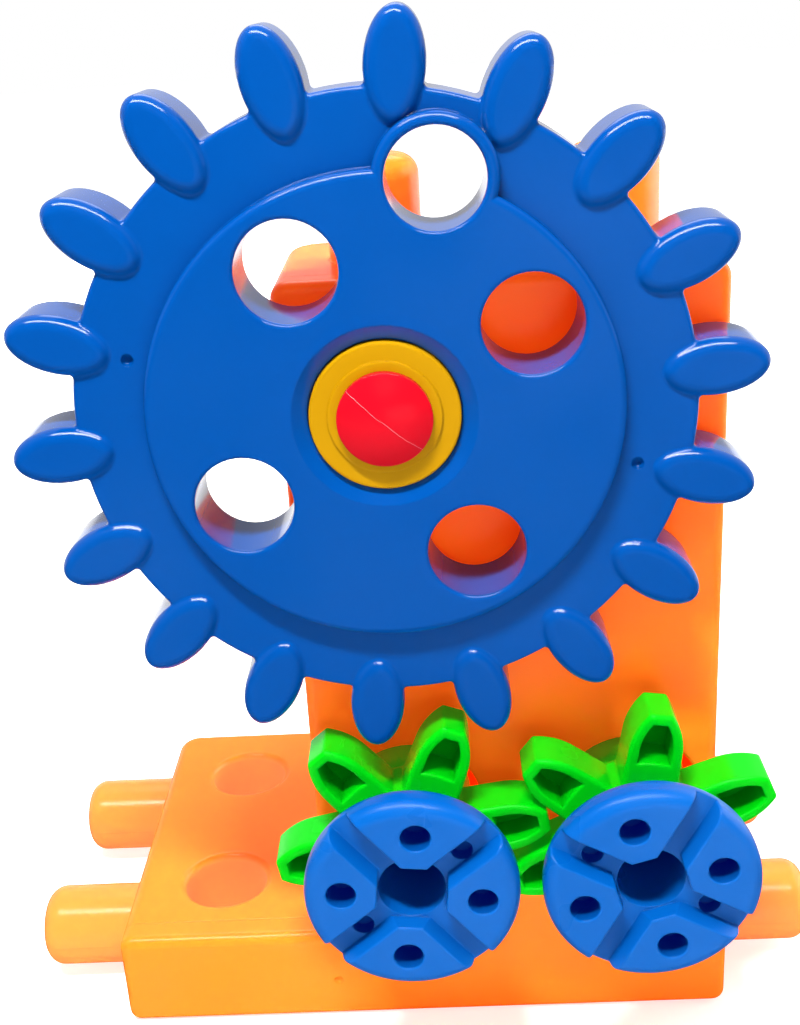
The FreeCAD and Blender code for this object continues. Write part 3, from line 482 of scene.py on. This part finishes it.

# %% [markdown]
# ## Seven plastics and a steel
#
# The orange of the block and its pegs is the same, but a peg is thinner, so it gets a paler
# painted glow, which also paints a pale sheen on it, and it has the parting line. The gear is the
# glossiest. The knobs are satin, and the yellow bush is nearly matt. The screws are zinc-plated
# steel, so their metallic share is 1.

# %% Seven plastics and a steel
ORANGE = (0.90, 0.210, 0.013)
PALE_ORANGE = (0.94, 0.245, 0.020)
# Painted red glow on the block, standing for light that comes through its walls.
ORANGE_GLOW = (0.52, 0.014, 0.0)
# Painted glow on the thin pegs, which also paints a pale sheen on them.
PEG_GLOW_AND_SHEEN = (0.50, 0.09, 0.06)
PEG_LINE = ((0, 0, 1), PEG_AXIS_HEIGHT, 0.12 * MM, 0.1 * MM, (0.95, 0.2, 0.02))
PIN_HAIRLINE = ((0.66, 0, 0.75), 119.9 * MM, 0.08 * MM, 0.9 * MM, (0.6, 0.15, 0.18))

block_orange = moulded("Block orange", ORANGE, PALE_ORANGE, roughness=0.22, glow=ORANGE_GLOW,
                       specular=0.3, scuffs=0.03)
peg_orange = moulded("Peg orange", ORANGE, PALE_ORANGE, roughness=0.20, glow=PEG_GLOW_AND_SHEEN,
                     specular=0.3, scuffs=0.03, line=PEG_LINE)
# The pockets of the gear, the knobs and the pinions get painted shade and a faint painted light.
gear_blue = moulded("Gear blue", (0.0, 0.046, 0.222), (0.0, 0.054, 0.25), roughness=0.12,
                    specular=0.40, scuffs=0.05, pocket=(5 * MM, 0.45, (0, 0, 0.02)))
knob_blue = moulded("Knob blue", (0.0, 0.079, 0.335), (0.002, 0.092, 0.37), roughness=0.29,
                    grain=0.8, specular=0.20, scuffs=0.05, pocket=(14 * MM, 0.25, (0, 0, 0.07)))
pinion_green = moulded("Pinion green", (0.0, 0.36, 0.0015), (0.001, 0.41, 0.004), roughness=0.24,
                       specular=0.15, corner=0.9 * MM, scuffs=0.05, glow=(0.0, 0.10, 0.003),
                       pocket=(8 * MM, 0.4, (0, 0.02, 0)))
bush_yellow = moulded("Bush yellow", (0.33, 0.168, 0.0), (0.37, 0.19, 0.002), roughness=0.50,
                      grain=0.7, specular=0.05)
pin_red = moulded("Pin red", (0.42, 0.002, 0.009), (0.44, 0.004, 0.012), roughness=0.16,
                  specular=0.15, scuffs=0.0, line=PIN_HAIRLINE)
screw_steel = moulded("Screw steel", (0.45, 0.45, 0.46), (0.6, 0.6, 0.6), roughness=0.35)
screw_steel.node_tree.nodes["Principled BSDF"].inputs["Metallic"].default_value = 1.0
PLASTICS = (block_orange, peg_orange, gear_blue, knob_blue, pinion_green, bush_yellow, pin_red)
print("made", [plastic.name for plastic in PLASTICS], "and", screw_steel.name)

# %% [markdown]
# ## Painted light in the sockets and the tower
#
# The sockets are thin-walled tubes that are open below, and their walls get a painted glow,
# pinker than the block's, that stands for the light inside them. The tall hollow tower gets a
# painted glow that grows redder near its top than the base's. Two more materials and a split of
# the mesh could do it, but the block's own grid says where its sockets are: a ping-pong of X and
# Y folds the whole block onto one socket, and the distance from its axis makes the mask.

# %% Painted light in the sockets and the tower
# Painted light: a pinker glow on the sockets' walls, and a red glow that grows up the tower.
PAINTED_SOCKET_GLOW = (0.50, 0.14, 0.066)
SOCKET_FADE = (0.2 * MM, 1.2 * MM)   # outside the socket's radius
MOUTH_FADE = 1.5 * MM                # below the base's top
TOWER_FADE = (85 * MM, 135 * MM)     # heights over which the glow grows
LOW_GLOW_SHARE = 0.7

tree = block_orange.node_tree
shader = tree.nodes["Principled BSDF"]
place = add_node(tree, "ShaderNodeSeparateXYZ", {
    0: add_node(tree, "ShaderNodeTexCoord").outputs["Object"]}).outputs
across = math_node(tree, "PINGPONG", place["X"], SOCKET_PITCH / 2)
along = math_node(tree, "PINGPONG", math_node(tree, "SUBTRACT", place["Y"], SOCKET_FIRST_Y),
                  SOCKET_PITCH / 2)
squares = math_node(tree, "ADD", math_node(tree, "MULTIPLY", across, across),
                    math_node(tree, "MULTIPLY", along, along))
from_socket = math_node(tree, "SQRT", squares)
inside = ramp(tree, from_socket, SOCKET_RADIUS + SOCKET_FADE[0], SOCKET_RADIUS + SOCKET_FADE[1],
              1.0, 0.0)
below = ramp(tree, place["Z"], BASE_HEIGHT - MOUTH_FADE, BASE_HEIGHT, 1.0, 0.0)
low_glow = (ORANGE_GLOW[0] * LOW_GLOW_SHARE, *ORANGE_GLOW[1:], 1)
painted_tower_glow = mix_colors(tree, ramp(tree, place["Z"], *TOWER_FADE), low_glow, (*ORANGE_GLOW, 1))
painted_block_glow = mix_colors(tree, math_node(tree, "MULTIPLY", inside, below), painted_tower_glow,
                        (*PAINTED_SOCKET_GLOW, 1))
tree.links.new(painted_block_glow, shader.inputs["Emission Color"])
print("block orange has", len(tree.nodes), "nodes")

# %% [markdown]
# ## The finishes on the pieces
#
# Each solid names its finish in the shared record, so the finishes are handed out by that
# name. They could be set one by one in the editor, but a table can't miss a piece. The side
# pegs get their own orange, with the parting line at their mid-height.

# %% The finishes on the pieces
FINISH_OF = {
    "block_orange": block_orange, "gear_blue": gear_blue, "knob_blue": knob_blue,
    "pinion_green": pinion_green, "bush_yellow": bush_yellow, "pin_red": pin_red,
    "screw_steel": screw_steel,
}
for part in frame["record"]["subparts"]:
    piece = part["node"]
    finish = FINISH_OF[part["material_slot"]]
    if piece.endswith("_peg") and not piece.startswith("top"):
        finish = peg_orange
    for material_slot in frame["nodes"][piece].material_slots:
        material_slot.material = finish
    print(piece, "is", finish.name)
